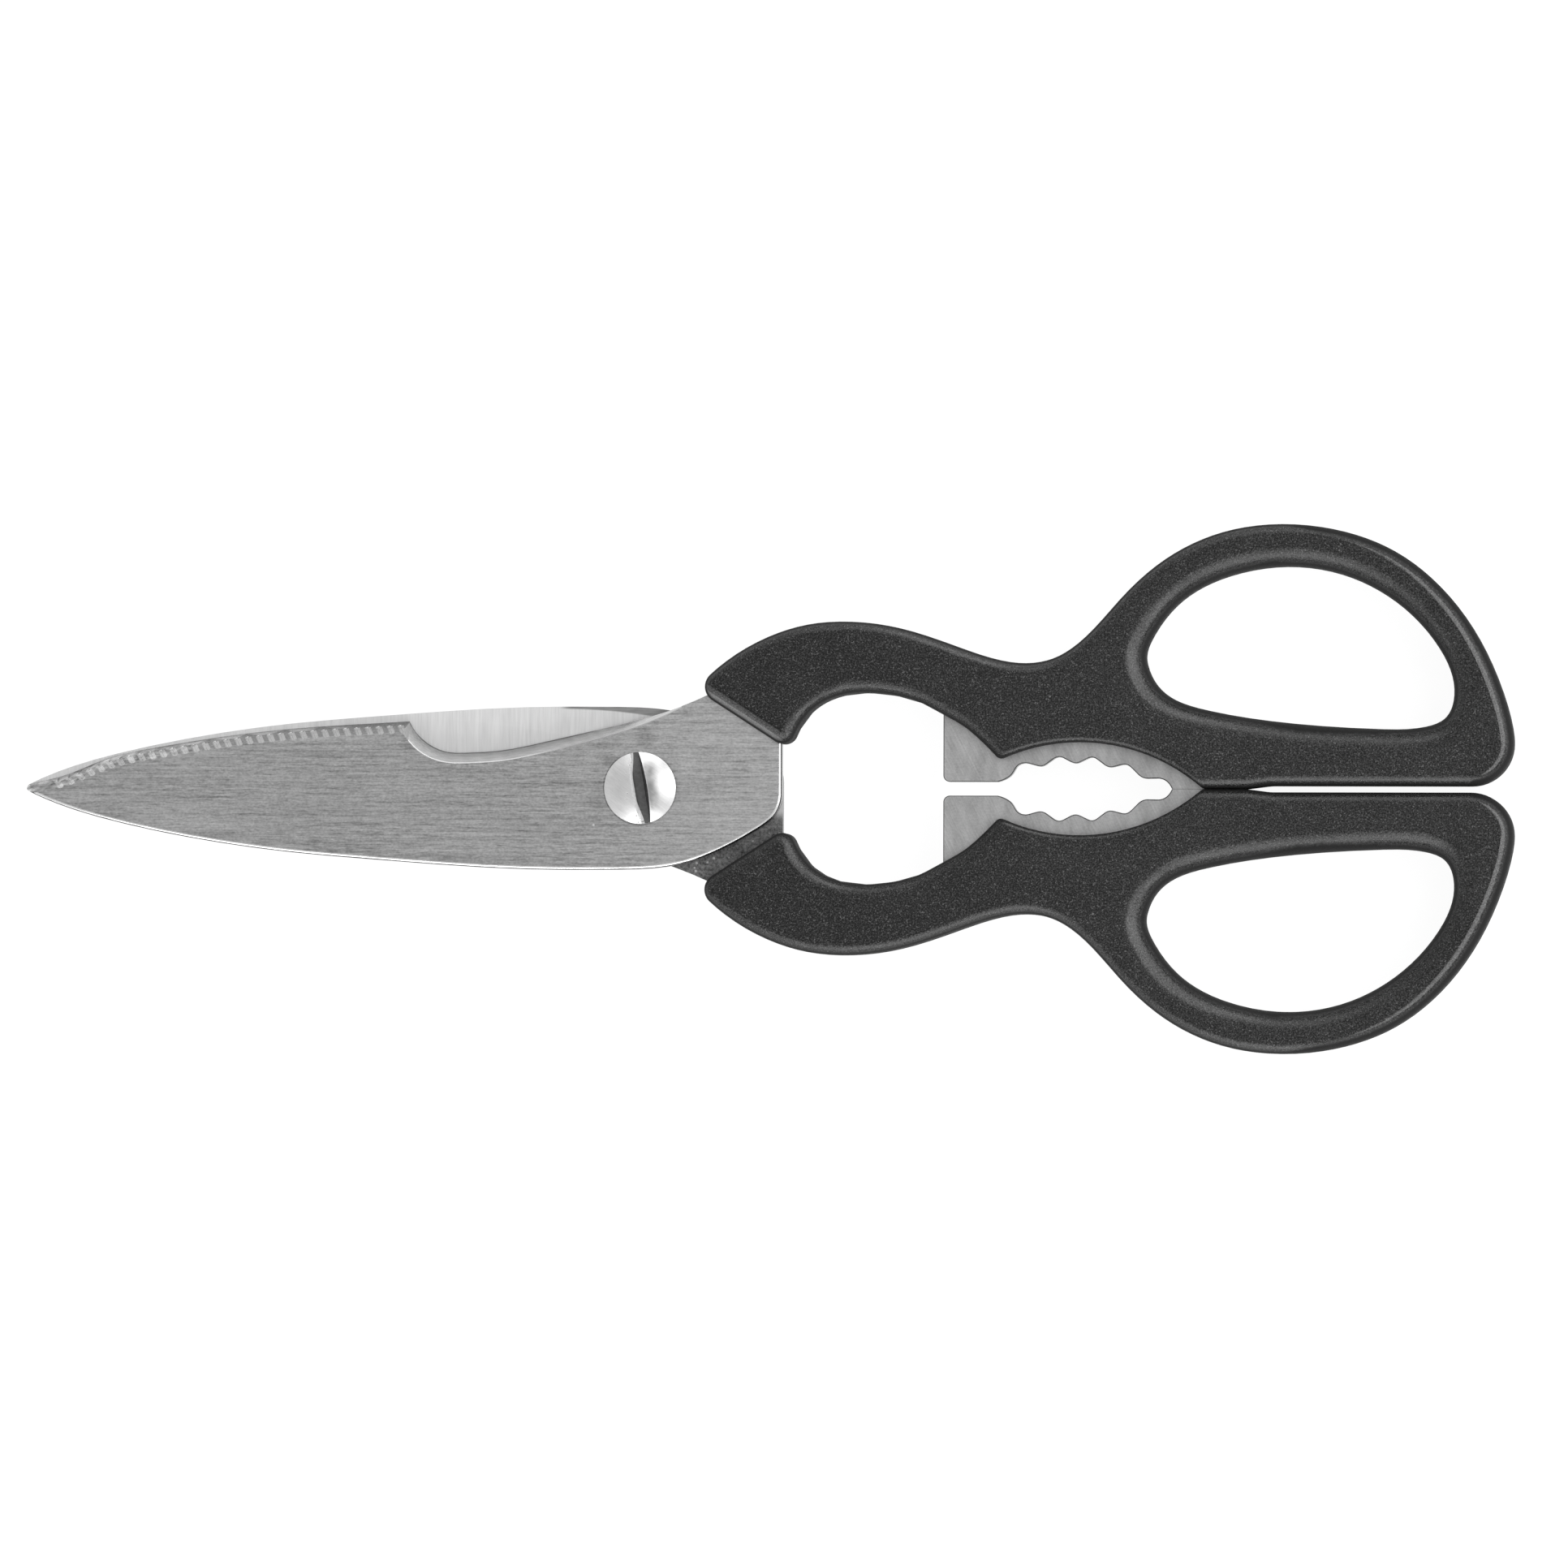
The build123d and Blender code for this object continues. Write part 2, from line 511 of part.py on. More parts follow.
with BuildPart() as pivot_screw:
    with BuildSketch(LENGTHWISE):
        with BuildLine():
            Polyline((0, NUT_FACE + THREAD_SETBACK),
                     (THREAD_DIAMETER / 2, NUT_FACE + THREAD_SETBACK),
                     (THREAD_DIAMETER / 2, -INNER_FACE),
                     (SHOULDER_DIAMETER / 2, -INNER_FACE),
                     (SHOULDER_DIAMETER / 2, HEAD_FACE),
                     (HEAD_DIAMETER / 2, HEAD_FACE),
                     (HEAD_DIAMETER / 2, HEAD_FACE + HEAD_RIM))
            TangentArc((0, HEAD_FACE + HEAD_RIM + HEAD_DOME), (HEAD_DIAMETER / 2, HEAD_FACE + HEAD_RIM),
                       tangent=(1, 0))
            Line((0, HEAD_FACE + HEAD_RIM + HEAD_DOME), (0, NUT_FACE + THREAD_SETBACK))
        make_face()
    revolve(axis=AXIS)
    with BuildSketch(FRONT.offset(HEAD_FACE + HEAD_RIM + HEAD_DOME)):
        Rectangle(SLOT_WIDTH, HEAD_DIAMETER + 2 * (SLOT_DEPTH + CUT_OVERRUN), rotation=SLOT_TILT)
    extrude(amount=-SLOT_DEPTH, taper=SLOT_FLANK, mode=Mode.SUBTRACT)
pivot_screw.part.label = "pivot_screw"
export_step(pivot_screw.part, "parts/pivot_screw.step")

with BuildPart() as pivot_washer:
    with BuildSketch(FRONT.offset(OUTER_FACE)):
        Circle(WASHER_DIAMETER / 2)
        Circle(SHOULDER_DIAMETER / 2 + SHOULDER_PLAY, mode=Mode.SUBTRACT)
    extrude(amount=WASHER_THICKNESS)
pivot_washer.part.label = "pivot_washer"
export_step(pivot_washer.part, "parts/pivot_washer.step")

with BuildPart() as pivot_nut:
    with BuildSketch(REAR.offset(OUTER_FACE)):
        Circle(NUT_DIAMETER / 2)
        Circle(THREAD_DIAMETER / 2, mode=Mode.SUBTRACT)
    extrude(amount=MID_HEIGHT - OUTER_FACE)
    crown = pivot_nut.faces().sort_by(Axis.Z)[0]
    chamfer(crown.outer_wire().edges(), NUT_EDGE)
pivot_nut.part.label = "pivot_nut"
export_step(pivot_nut.part, "parts/pivot_nut.step")
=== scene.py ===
import bmesh
import bpy
import json
from math import pi, radians, tan
from mathutils import Matrix, Quaternion, Vector


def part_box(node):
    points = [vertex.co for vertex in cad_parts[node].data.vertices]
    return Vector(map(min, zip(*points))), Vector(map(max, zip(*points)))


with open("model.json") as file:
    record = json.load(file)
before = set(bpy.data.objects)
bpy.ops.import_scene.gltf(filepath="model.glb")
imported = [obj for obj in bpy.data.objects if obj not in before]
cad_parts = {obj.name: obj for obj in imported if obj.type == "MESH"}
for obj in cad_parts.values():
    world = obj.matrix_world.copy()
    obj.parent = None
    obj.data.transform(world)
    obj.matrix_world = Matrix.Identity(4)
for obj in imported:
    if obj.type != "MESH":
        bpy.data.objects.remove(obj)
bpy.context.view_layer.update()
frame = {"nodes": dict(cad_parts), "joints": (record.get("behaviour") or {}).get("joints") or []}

# The finish of the kitchen shears. Places on them are in millimetres from the middle of the
# pivot: +X to the finger loops, +Y to the front half's handle, +Z to the screw head. In most
# pairs of numbers a soft change starts at the first and is complete at the second.
MM = 0.001
PIVOT = Vector(frame["joints"][0]["pos_m"])
SCREW_TOP = (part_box("pivot_screw")[1].z - PIVOT.z) / MM
SCREW_LEAN = 9.7            # degrees, the slot's lean

# The photograph looks down on the shears, with the tips to the left
VIEW_WIDTH = 0.2208         # metres across the picture, at the shears' middle height
VIEW_DISTANCE = 2.5
VIEW_CENTRE = (0.00217, 0.00065)
VIEW_LEAN = (3.75, -1.0)    # degrees off the vertical, towards +X and +Y
VIEW_ROLL = 0.12            # degrees
SENSOR_WIDTH = 36.0         # millimetres

# Studio light. A rise is the upward share of a direction
OVERHEAD = 0.48             # brightness straight above the shears
OVERHEAD_RISE = (0.3, 0.92)
ROUND_ABOUT = 0.68          # and round them, with more of it from the right and the front
FROM_RIGHT = 0.16
FROM_BACK = -0.1
HORIZON = 1.0               # brightness of a low white band
HORIZON_RISE = 0.14
HORIZON_FADE = 0.06
FLOOR_WHITE = 0.8
FLOOR_SHADE = 0.2           # of the shadow that shows on the white floor
FLOOR_GLOW = 0.93
FLOOR_SIZE = 12.0
FLOOR_DROP = 0.00005
# Name, place, width and height in metres, brightness
LAMPS = [
    ("window_lamp", (0.69, 0.15, 0.64), (0.6, 0.75), 1.8),
    ("front_lamp", (0.05, -0.84, 0.45), (0.9, 0.5), 1.9),
    ("back_lamp", (0.1, 0.84, 0.5), (0.9, 0.4), 1.5),
]

# Where the blades change their finish
FACE_LIGHT_RUN = (-20, 25)        # the outer face lightens along it, as painted light from the right
NOTCH_CORNER = -32.87       # the bevel's grooves end there and the bone notch starts
JAWS_START = 30.0
OUTER_HEIGHT = 3.02         # of the outer face, from the pivot's middle
WORN_EDGE = (50.0, 74.0)    # wear of the bevel, left of the pivot
HOLLOW_RUN = (-20, -60)     # the hollow lightens along it
HOLLOW_RIM = 11.2           # the hollow's end, seen at the spine
HOLLOW_RIM_START = -11.0
HOLLOW_RIM_BEND = 0.0066
PAST_HOLLOW = (-12, -10)    # flat steel beside the rim starts there
ROOT_START = 4.0            # the rough, unground steel by the collar
ROOT_HEIGHT = (3.0, 4.5)

# Heights on the bone notch's slope
NOTCH_SHADOW_LINE = (0.62, 0.5)    # a painted shadow line
NOTCH_SLOPE = (0.4, 2.6)
NOTCH_HIGHLIGHT_LINE = (2.72, 2.84)   # a painted highlight line
NOTCH_HIGHLIGHT_RUN = (-18, -8)        # which fades to the right

# Tones of the steel, from 0 to 255
FACE_TONES = (144, 154)     # left and right; the step between them is painted light
BEVEL_TONES = (124, 172)    # painted shade between the grooves, painted highlight in them
NOTCH_TONES = (160, 196)    # low and high on its slope
NOTCH_SHADOW_TONE = 110
FADED_NOTCH_HIGHLIGHT_TONE = 165
JAW_TONE = 151
SIDE_TONE = 112
# Painted shade on the steep part of rounded corners
LOW_SIDE_SHADE_TONE = 50
UPPER_CORNER_SHADE_TONE = 150     # painted shade on corners that face +Y
JAW_CORNER_TONE = 100

# Brightness where no tone is given, from 0 to 1
BRIGHT_CHIP = 1.0
HOLLOW = 0.9
FLAT_INSIDE = 0.42
ROOT_SKIN = 0.24
# Brightness of the painted highlight line at the top of the bone notch's slope
NOTCH_HIGHLIGHT_BRIGHTNESS = 0.95
SCREW = 0.94
SLOT_DIRT_AND_SHADE = 0.06
PLASTIC = 0.011
PLASTIC_FLANK_SHADE = 0.006

# Roughness
INSIDE_ROUGH = 0.5
FACE_ROUGH = 0.34
JAW_ROUGH = 0.36
CORNER_ROUGH = 0.26
SCREW_ROUGH = 0.4
PLASTIC_ROUGH = 0.26

# Upward shares of the normals that tell the faces of a blade apart
BEVEL_LEAN = 0.4594
GROOVE_LEAN = (0.003, 0.008)    # off the bevel's
LEVEL = (0.965, 0.995)
LOW_SIDE = (0.2, 0.4)
CORNER_LEAN = 0.64
RIGHT_CORNER_LEAN = 0.12        # more than that on corners that face the finger loops
CORNER_FADE = 0.1

# The line where the blade enters the plastic, and the rounded lip beside it
COLLAR_END = (8.1, 14.5)
COLLAR_SLOPE = (0.544, 0.839)
COLLAR_RUN = (20.5, 19.0)
COLLAR_SIDE = (1.0, 4.0)        # of y times z: the front handle's front and the rear one's back
COLLAR_LIP = 0.95

# Where the plastic changes along X
GRIP_RUN = (15.0, 80.0)     # it lightens
FAR_ENDS = (84.0, 96.0)     # of the finger loops, with a fine painted highlight line

# The screw's slot, painted dark with dirt and shade but for its left flank
SLOT_FLOOR = SCREW_TOP - 1.6
SLOT_LEFT = -0.78
SLOT_ENDS = 0.6             # how far the dark part steps aside at the slot's ends
SLOT_FLANK = (0.6, 0.8)     # sideways share of a flank's normal
DULL_AND_SHADED_SIDE = (0.9, 1.3)      # duller steel right of the slot, where the whole side also gets painted shade

# Stains round the screw: place, size, and depth, which is below 0 for a light patch
STAINS = [
    ((0.6, 7.2), (1.7, 2.2), 0.26),
    ((-5.0, 5.9), (3.4, 0.8), 0.24),
    ((-4.4, 3.9), (1.6, 1.1), 0.26),
    ((-6.0, -1.0), (1.6, 4.0), 0.12),
    ((6.6, 3.2), (1.8, 3.0), -0.12),
]
SCRATCH_RUN = (-26.4, -8.0)
SCRATCH_FADES = (4, 3)      # beyond its two ends
SCRATCH_HEIGHT = -5.5
SCRATCH_SLOPE = -0.056
SCRATCH_HALF_WIDTH = 0.2
HEAD_SHADOW_RADIUS = 5.17          # painted shadow beside the screw head, on its lower left
HEAD_SHADOW_WIDTH = (0.14, 0.06)


# Nodes
class Wire:
    # A value that a node gives. Sums on it add Math nodes

    def __init__(self, recipe, socket):
        self.recipe = recipe
        self.socket = socket

    def __add__(self, other):
        return self.recipe.math("ADD", self, other)

    def __radd__(self, other):
        return self.recipe.math("ADD", other, self)

    def __sub__(self, other):
        return self.recipe.math("SUBTRACT", self, other)

    def __rsub__(self, other):
        return self.recipe.math("SUBTRACT", other, self)

    def __mul__(self, other):
        return self.recipe.math("MULTIPLY", self, other)

    def __rmul__(self, other):
        return self.recipe.math("MULTIPLY", other, self)

    def __abs__(self):
        return self.recipe.math("ABSOLUTE", self)


class Recipe:
    # The nodes of one material, or of the world

    def __init__(self, owner):
        owner.use_nodes = True
        self.tree = owner.node_tree
        self.tree.nodes.clear()

    def node(self, kind, settings=None, inputs=None, output=0):
        made = self.tree.nodes.new(kind)
        for name, value in (settings or {}).items():
            setattr(made, name, value)
        for name, value in (inputs or {}).items():
            if isinstance(value, Wire):
                self.tree.links.new(value.socket, made.inputs[name])
            else:
                made.inputs[name].default_value = value
        return Wire(self, made.outputs[output]) if made.outputs else None

    def math(self, operation, *values):
        return self.node("ShaderNodeMath", {"operation": operation}, dict(enumerate(values)))

    def distance(self, across, along):
        return self.math("SQRT", across * across + along * along)

    def step(self, value, low, high):
        # 0 at low, 1 at high, with a soft rise between
        inputs = {"Value": value, "From Min": low, "From Max": high}
        return self.node("ShaderNodeMapRange", {"interpolation_type": "SMOOTHSTEP"}, inputs)

    def split(self, vector):
        made = self.node("ShaderNodeSeparateXYZ", inputs={"Vector": vector})
        return [Wire(self, socket) for socket in made.socket.node.outputs]

    def coordinates(self, output):
        return self.node("ShaderNodeTexCoord", output=output)

    def place(self):
        # Millimetres from the middle of the pivot
        inputs = {"Vector": self.coordinates("Object"), "Location": -PIVOT / MM, "Scale": (1 / MM,) * 3}
        return self.node("ShaderNodeMapping", inputs=inputs)

    def stretched(self, place, sizes, turn=0.0):
        # Scales a pattern so that its features have these sizes
        inputs = {"Vector": place, "Rotation": (0, 0, radians(turn))}
        turned = self.node("ShaderNodeMapping", inputs=inputs)
        scale = [1 / size for size in sizes]
        return self.node("ShaderNodeMapping", inputs={"Vector": turned, "Scale": scale})

    def along_slot(self, vector):
        # Turned with the screw, so that X lies across its slot and Y along it
        return self.split(self.stretched(vector, (1, 1, 1), -SCREW_LEAN))

    def noise(self, place, sizes, detail=2.0, rough=0.5, turn=0.0):
        inputs = {"Vector": self.stretched(place, sizes, turn), "Scale": 1.0,
                  "Detail": detail, "Roughness": rough}
        return self.node("ShaderNodeTexNoise", inputs=inputs, output="Fac")

    def specks(self, place, spacing, size):
        # Small round specks, far apart
        inputs = {"Vector": self.stretched(place, (spacing,) * 3), "Scale": 1.0}
        away = self.node("ShaderNodeTexVoronoi", inputs=inputs, output="Distance")
        return 1 - self.step(away, size / spacing * 0.6, size / spacing)

    def bump(self, height):
        # The height is in millimetres
        return self.node("ShaderNodeBump", inputs={"Strength": 1.0, "Distance": MM, "Height": height})


def blend(mask, low, high):
    return low + mask * (high - low)


def vary(pattern, amount, middle=0.5):
    # Lighter and darker by turns, about the pattern's middle
    return (pattern - middle) * amount


def material(name):
    made = bpy.data.materials.new(name)
    return made, Recipe(made)


def coat(recipe, base, roughness, height, **constants):
    # The shader, with the numbers that are the same all over
    inputs = {"Base Color": base, "Roughness": roughness, "Normal": recipe.bump(height)}
    shader = recipe.node("ShaderNodeBsdfPrincipled", inputs={**inputs, **constants})
    recipe.node("ShaderNodeOutputMaterial", inputs={"Surface": shader})


def light_of(tone):
    # The linear brightness of a tone from 0 to 255
    share = tone / 255
    return share / 12.92 if share < 0.04 else ((share + 0.055) / 1.055) ** 2.4


def steel(tone):
    # The steel that shows this tone under the overhead light
    return light_of(tone) / OVERHEAD


# Steel of the blades and jaws
def brushed_face(recipe, place, x, y, streaks, clouds, grain):
    # Brush marks along the outer face
    long_streaks = recipe.noise(place, (18.0, 0.45, 0.5))
    dark_streaks = recipe.step(streaks, 0.55, 0.68) * recipe.step(clouds, 0.35, 0.6)
    # Painted light: the face is lighter towards the right
    left, right = [steel(tone) for tone in FACE_TONES]
    face = (blend(recipe.step(x, *FACE_LIGHT_RUN), left, right)
            + vary(streaks, 0.95) + vary(long_streaks, 0.5) + vary(grain, 0.4)
            + vary(clouds, 0.2) - dark_streaks * 0.3)

    # Stains, a long scratch, a painted shadow beside the screw head and bright chips
    mottled = streaks * 1.4 - 0.1
    for (across, along), (width, length), depth in STAINS:
        away = recipe.distance((x - across) * (1 / width), (y - along) * (1 / length))
        face = face - recipe.step(away, 1.0, 0.2) * mottled * depth
    start, end = SCRATCH_RUN
    start_fade, end_fade = SCRATCH_FADES
    off_scratch = abs(y - SCRATCH_HEIGHT - (x - start) * SCRATCH_SLOPE)
    scratch = recipe.step(off_scratch, SCRATCH_HALF_WIDTH, 0.0) * recipe.step(x, start - start_fade, start)
    face = face - scratch * recipe.step(x, end + end_fade, end) * long_streaks * 0.24
    # Painted shadow of the screw head, on its lower left side
    head_shadow = recipe.step(abs(recipe.distance(x, y) - HEAD_SHADOW_RADIUS), *HEAD_SHADOW_WIDTH)
    face = face - head_shadow * recipe.step(x + y * 0.5, 1.0, -3.0) * 0.25
    return blend(recipe.specks(place, 7.0, 0.26), face, BRIGHT_CHIP)


def ground_inside(recipe, place, x, y, streaks):
    # Marks across the hollow ground inner face, and flat steel beside its rim
    cross = recipe.noise(place, (0.3, 6.0, 6.0), 2.0, 0.6)
    cross_bands = recipe.noise(place, (1.6, 12.0, 12.0), 1.0)
    hollow = HOLLOW + vary(cross, 0.3) + vary(cross_bands, 0.14) + recipe.step(x, *HOLLOW_RUN) * 0.04
    along_rim = recipe.math("MAXIMUM", x - HOLLOW_RIM_START, 0.0)
    rim_highlight = HOLLOW_RIM - along_rim * along_rim * HOLLOW_RIM_BEND
    past_hollow = recipe.step(abs(y) - rim_highlight, -0.12, 0.12) * recipe.step(x, *PAST_HOLLOW)
    inner = blend(past_hollow, hollow, FLAT_INSIDE + vary(streaks, 0.4))

    # Rough skin of the blank at the root
    skin = recipe.noise(place, (0.4, 0.4, 0.4), 4.0, 0.7)
    skin_clouds = recipe.noise(place, (3.0, 3.0, 3.0))
    root = recipe.step(x, ROOT_START - 1, ROOT_START + 1) * recipe.step(y, *ROOT_HEIGHT)
    rough_skin = (ROOT_SKIN + vary(skin, 0.9) + vary(skin_clouds, 0.3)
                  + recipe.specks(place, 1.1, 0.24) * 0.4)
    height = (cross * 0.003) * (1 - root) + skin * root * 0.012
    return blend(root, inner, rough_skin), height, past_hollow


def ground_edge(recipe, place, x, z, normal_z, grain, half):
    # Bevel: painted shade between its grooves and a painted highlight in them, chosen by the normal's tilt;
    # worn near the tip
    wear = recipe.noise(place, (1.4, 1.0, 1.0), 3.0, 0.6)
    groove_highlight = recipe.step(abs(normal_z - BEVEL_LEAN), *GROOVE_LEAN)
    bevel = blend(groove_highlight, *[light_of(tone) for tone in BEVEL_TONES]) + vary(grain, 0.2)
    bevel = blend(recipe.step(-1 * x, *WORN_EDGE), bevel, bevel + vary(wear, 0.9, 0.45))

    # Slope of the bone notch, on the front blade only: a painted shadow line below, a painted highlight line
    # above
    marks = recipe.noise(place, (2.2, 0.3, 0.3))
    slope = blend(recipe.step(z, *NOTCH_SLOPE), *[light_of(tone) for tone in NOTCH_TONES]) + vary(marks, 0.3)
    slope = blend(recipe.step(z, *NOTCH_SHADOW_LINE), slope, light_of(NOTCH_SHADOW_TONE))
    notch_highlight = blend(recipe.step(x, *NOTCH_HIGHLIGHT_RUN), NOTCH_HIGHLIGHT_BRIGHTNESS, light_of(FADED_NOTCH_HIGHLIGHT_TONE))
    slope = blend(recipe.step(z, *NOTCH_HIGHLIGHT_LINE), slope, notch_highlight)
    notch = recipe.step(x, NOTCH_CORNER, NOTCH_CORNER + 0.1) * max(half, 0)
    return blend(notch, bevel, slope)


def blade_steel(name, half):
    # The rear blade, half -1, is the front one turned over
    made, recipe = material(name)
    place = recipe.place()
    x, y, z = recipe.split(place)
    normal_x, normal_y, normal_z = recipe.split(recipe.coordinates("Normal"))
    y = y * half
    z = z * half
    normal_y = normal_y * half
    normal_z = normal_z * half
    streaks = recipe.noise(place, (2.6, 0.24, 0.5), 3.0, 0.65)
    clouds = recipe.noise(place, (14.0, 5.0, 5.0))
    grain = recipe.noise(place, (0.34, 0.24, 0.24), 1.0)
    face = brushed_face(recipe, place, x, y, streaks, clouds, grain)
    inner, inner_height, past_hollow = ground_inside(recipe, place, x, y, streaks)
    edge = ground_edge(recipe, place, x, z, normal_z, grain, half)

    # Steel of the jaws, with soft clouds and stray scratches
    jaw_clouds = recipe.noise(place, (1.6, 5.0, 5.0))
    stray = recipe.noise(place, (4.0, 0.2, 0.5), turn=63.0)
    jaw = steel(JAW_TONE) + vary(jaw_clouds, 0.4) + vary(stray, 0.3) + vary(grain, 0.22)
    jaws = recipe.step(x, JAWS_START, JAWS_START + 1)

    # Cut sides of the blanks, dull. Their rounded corners are smoother and get a painted highlight, with
    # painted shade on their steep part and on corners that face +Y; on the jaws they are darker
    upward = abs(normal_z)
    side_marks = recipe.noise(place, (0.2, 0.2, 3.0))
    side = light_of(SIDE_TONE) + vary(side_marks, 0.14)
    side = blend(recipe.step(upward, *LOW_SIDE), side, light_of(LOW_SIDE_SHADE_TONE))
    corner_from = CORNER_LEAN + recipe.step(normal_x, 0.5, 0.9) * RIGHT_CORNER_LEAN
    rounded = recipe.step(upward - corner_from, 0.0, CORNER_FADE)
    painted_corner = 1 - side_marks * 0.06
    painted_corner = blend(recipe.step(normal_y, 0.1, 0.3), painted_corner, light_of(UPPER_CORNER_SHADE_TONE))
    painted_corner = blend(jaws, painted_corner, light_of(JAW_CORNER_TONE))

    # Each finish in its place
    level = recipe.step(upward, *LEVEL)
    outside = recipe.step(z, OUTER_HEIGHT / 2 - 0.1, OUTER_HEIGHT / 2 + 0.1)
    flat = blend(jaws, blend(outside, inner, face), jaw)
    base = blend(level, blend(rounded, side, painted_corner), flat)
    sloping = recipe.step(normal_y, 0.15, 0.3) * recipe.step(normal_z, 0.2, 0.3) * (1 - jaws) * (1 - level)
    base = blend(sloping, base, edge)
    roughness = blend(outside, INSIDE_ROUGH, FACE_ROUGH) + vary(streaks, 0.12)
    roughness = blend(level, CORNER_ROUGH, blend(jaws, roughness, JAW_ROUGH))
    height = blend(outside, inner_height, (streaks + grain) * 0.003)
    metallic = 1 - (1 - outside) * level * (1 - jaws) * (1 - past_hollow) * 0.5
    coat(recipe, base, roughness, height, Metallic=metallic)
    return made


# Steel of the screw, washer and nut
def pivot_steel():
    made, recipe = material("turned_pivot_steel")
    place = recipe.place()
    x, y, z = recipe.split(place)
    normal_across, _, normal_z = recipe.along_slot(recipe.coordinates("Normal"))
    across, along, _ = recipe.along_slot(place)

    # Turning marks, rubbed patches and pits on the dome
    turning = recipe.node("ShaderNodeCombineXYZ", inputs={"X": recipe.distance(x, y) * 14, "Y": z * 3})
    rings = recipe.noise(turning, (1, 1, 1))
    rub = recipe.noise(place, (1.8, 0.16, 1.0), 3.0, 0.6, 35.0)
    clouds = recipe.noise(place, (2.5, 2.5, 2.5))
    near_slot = 1 - recipe.step(abs(across), 1.2, 2.6)
    pits = recipe.specks(place, 0.75, 0.16) * recipe.step(clouds, 0.5, 0.6) * near_slot
    bright = SCREW + vary(rub, 0.24) + vary(clouds, 0.2) + vary(rings, 0.1) - pits * 0.5
    # Painted shade on the whole right side, and a duller patch beside the slot
    shaded_right_side = recipe.step(across, *DULL_AND_SHADED_SIDE)
    dull = shaded_right_side * recipe.step(across, 3.2, 1.8) * recipe.step(abs(along), 4.2, 2.0)
    bright = bright - shaded_right_side * 0.1 - dull * recipe.step(clouds, 0.3, 0.65) * 0.5

    # Dirt and painted shade in the slot, on its floor and on its right flank, which faces away from the
    # lamps
    low = recipe.step(abs(z - SLOT_FLOOR), 0.12, 0.06)
    on_floor = low * recipe.step(normal_z, 0.97, 0.99)
    in_slot = recipe.math("MAXIMUM", on_floor, recipe.step(abs(normal_across), *SLOT_FLANK))
    dark_from = SLOT_LEFT + recipe.step(abs(along), 1.4, 5.2) * SLOT_ENDS
    slot_dirt_and_shade = in_slot * recipe.step(across - dark_from, 0.0, 0.06)
    dirt = recipe.noise(place, (0.5, 0.5, 0.5), 3.0)
    base = blend(slot_dirt_and_shade, bright, SLOT_DIRT_AND_SHADE + dirt * 0.14)
    left_flank = recipe.step(normal_across, *SLOT_FLANK)
    roughness = SCREW_ROUGH + vary(rub, 0.16) + vary(clouds, 0.12) + slot_dirt_and_shade * 0.2
    height = rings * 0.002 + rub * 0.003 - pits * 0.04
    coat(recipe, base, roughness, height, Metallic=1 - left_flank * 0.9)
    return made


# Moulded plastic of the handles
def grip_plastic():
    made, recipe = material("moulded_grip_plastic")
    place = recipe.place()
    x, y, z = recipe.split(place)
    normal_x, normal_y, normal_z = recipe.split(recipe.coordinates("Normal"))
    upward = abs(normal_z)
    grain = recipe.noise(place, (0.22, 0.22, 0.22), 2.0, 0.6)
    # Light specks: the plastic's own speckle, and painted glints
    speckle_and_glints = recipe.step(recipe.noise(place, (0.2, 0.2, 0.2), 1.0), 0.56, 0.8)
    clouds = recipe.noise(place, (6.0, 6.0, 6.0))
    lint = recipe.specks(place, 6.0, 0.2)
    seam = 1 - recipe.step(abs(z), 0.05, 0.12)

    # The lip beside the blade: a rounded bump with a painted highlight, painted shade in the crease behind
    # it, and a painted highlight on its rim
    (end_x, end_y), (slope_x, slope_y) = COLLAR_END, COLLAR_SLOPE
    into_plastic = (x - end_x) * slope_x + (abs(y) - end_y) * slope_y
    at_collar = recipe.step(x, *COLLAR_RUN) * recipe.step(y * z, *COLLAR_SIDE)
    lip = recipe.step(into_plastic, COLLAR_LIP, COLLAR_LIP - 0.2) * at_collar
    crease_shade = recipe.step(abs(into_plastic - COLLAR_LIP - 0.1), 0.2, 0.05) * at_collar
    rim_highlight = recipe.step(into_plastic, 0.2, 0.1) * at_collar
    base = (PLASTIC + vary(grain, 0.2) + speckle_and_glints * 0.13 + vary(clouds, 0.016)
            + recipe.step(x, *GRIP_RUN) * 0.007
            + lint * 0.15 + lip * 0.055 + rim_highlight * 0.12 - crease_shade * 0.02)

    # Painted highlights: a fine line where the outer edges of the finger loops bend, and a wider band round
    # the finger holes on the sides that face the right and front lamps
    far = recipe.step(x, *FAR_ENDS) * recipe.step(normal_x, 0.0, 0.08)
    bend_highlight = recipe.step(normal_x, 0.06, 0.12) * recipe.step(upward, 0.92, 0.965)
    inside = recipe.step(upward, 0.66, 0.82) * (1 - far)
    hole_highlight = (recipe.step(normal_x + normal_y * 0.25, 0.14, 0.3) * 0.06
            + recipe.step(normal_y, -0.2, -0.36) * 0.03)
    base = base + (bend_highlight * far * 0.14 + inside * hole_highlight) * (0.4 + grain)

    # Steep flanks get painted shade and are dull
    flank = recipe.step(upward, blend(far, 0.74, 0.95), blend(far, 0.45, 0.7))
    base = blend(flank, base, PLASTIC_FLANK_SHADE)
    roughness = PLASTIC_ROUGH + vary(grain, 0.2) + vary(clouds, 0.08) + flank * 0.6
    coat(recipe, base, roughness, grain * 0.05 + seam * 0.02 - lip * 0.1)
    return made


FINISHES = {
    "front_blade": blade_steel("front_blade_steel", 1),
    "rear_blade": blade_steel("rear_blade_steel", -1),
    "pivot": pivot_steel(),
    "handle": grip_plastic(),
}

